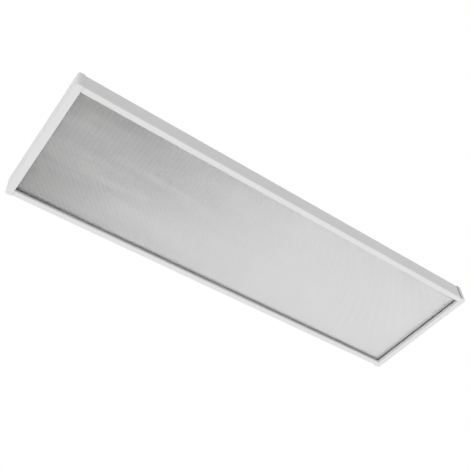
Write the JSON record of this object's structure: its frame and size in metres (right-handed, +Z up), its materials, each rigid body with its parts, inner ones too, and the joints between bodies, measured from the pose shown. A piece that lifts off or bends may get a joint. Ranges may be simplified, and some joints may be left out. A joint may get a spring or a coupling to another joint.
{
  "type": "linear high bay light",
  "caption": "Long white folded-steel ceiling light with a recessed prismatic lens, wrap-round end caps, a hinged gear cover and wire hangers on top.",
  "frame": {"origin": "under the middle of the light, in the plane on which the end caps rest", "axes": "+X along the length, +Y across towards the gear cover's hinges, +Z up, away from the lens"},
  "size_m": [1.219, 0.355, 0.0965],
  "materials": {
    "white_paint": "fine satin powder coat",
    "reflector_white": "high-reflectance matt white paint",
    "prismatic_acrylic": "clear acrylic with a prismatic underside",
    "board_white": "white solder mask on a metal-core board",
    "led_phosphor": "unlit phosphor in a white package",
    "white_nylon": "moulded nylon",
    "black_insulation": "smooth wire insulation",
    "white_insulation": "smooth wire insulation",
    "green_insulation": "smooth wire insulation",
    "zinc_steel": "bright zinc plating",
    "latch_zinc": "satin die-cast zinc",
    "rivet_aluminium": "plain aluminium",
    "driver_case": "satin anodised case",
    "green_screw": "green coated steel"
  },
  "bodies": {
    "light": {"housing": "white_paint", "end_cap_left": "white_paint", "end_cap_right": "white_paint", "end_cap_screws": "zinc_steel", "lens": "prismatic_acrylic", "reflector_tray": "reflector_white", "tray_screws": "zinc_steel", "end_reflector_left": "reflector_white", "end_reflector_right": "reflector_white", "end_reflector_rivets": "rivet_aluminium", "led_board_1_left": "board_white", "led_board_2_left": "board_white", "led_board_3_left": "board_white", "led_board_4_left": "board_white", "led_board_1_right": "board_white", "led_board_2_right": "board_white", "led_board_3_right": "board_white", "led_board_4_right": "board_white", "led_packages": "led_phosphor", "board_rivets": "white_nylon", "board_connectors": "white_nylon", "led_harness_left": "white_insulation", "led_harness_right": "white_insulation", "harness_splitters": "white_nylon", "wire_grommets": "white_nylon", "gear_box": "white_paint", "gear_box_end_left": "white_paint", "gear_box_end_right": "white_paint", "gear_box_screws": "zinc_steel", "hole_plugs": "zinc_steel", "driver_left": "driver_case", "driver_right": "driver_case", "driver_screws": "zinc_steel", "terminal_block": "white_nylon", "live_leads": "black_insulation", "neutral_leads": "white_insulation", "earth_leads": "green_insulation", "earth_screw": "green_screw", "hinge_fixed_leaves": "zinc_steel", "hinge_pins": "zinc_steel", "hanger_bracket_left": "white_paint", "hanger_bracket_right": "white_paint", "bracket_rivets": "rivet_aluminium"},
    "gear_cover": {"gear_cover": "white_paint", "hinge_cover_leaves": "zinc_steel"},
    "cover_latch_left": {"cover_latch_left": "latch_zinc"},
    "cover_latch_right": {"cover_latch_right": "latch_zinc"},
    "hanger_left": {"hanger_left": "zinc_steel"},
    "hanger_right": {"hanger_right": "zinc_steel"}
  },
  "joints": [
    {"name": "gear_cover_hinge", "type": "hinge", "parent": "light", "child": "gear_cover", "pos_m": [0, 0.0686, 0.0763], "axis": [-1, 0, 0], "range_deg": [0, 105]},
    {"name": "cover_latch_left_turn", "type": "hinge", "parent": "gear_cover", "child": "cover_latch_left", "pos_m": [-0.2, -0.045, 0.0865], "axis": [0, 0, -1], "range_deg": [0, 90]},
    {"name": "cover_latch_right_turn", "type": "hinge", "parent": "gear_cover", "child": "cover_latch_right", "pos_m": [0.2, -0.045, 0.0865], "axis": [0, 0, -1], "range_deg": [0, 90]},
    {"name": "hanger_left_swing", "type": "hinge", "parent": "light", "child": "hanger_left", "pos_m": [-0.46, 0, 0.06], "axis": [0, 1, 0], "range_deg": [0, 170.2]},
    {"name": "hanger_right_swing", "type": "hinge", "parent": "light", "child": "hanger_right", "pos_m": [0.46, 0, 0.06], "axis": [0, -1, 0], "range_deg": [0, 170.2]}
  ]
}
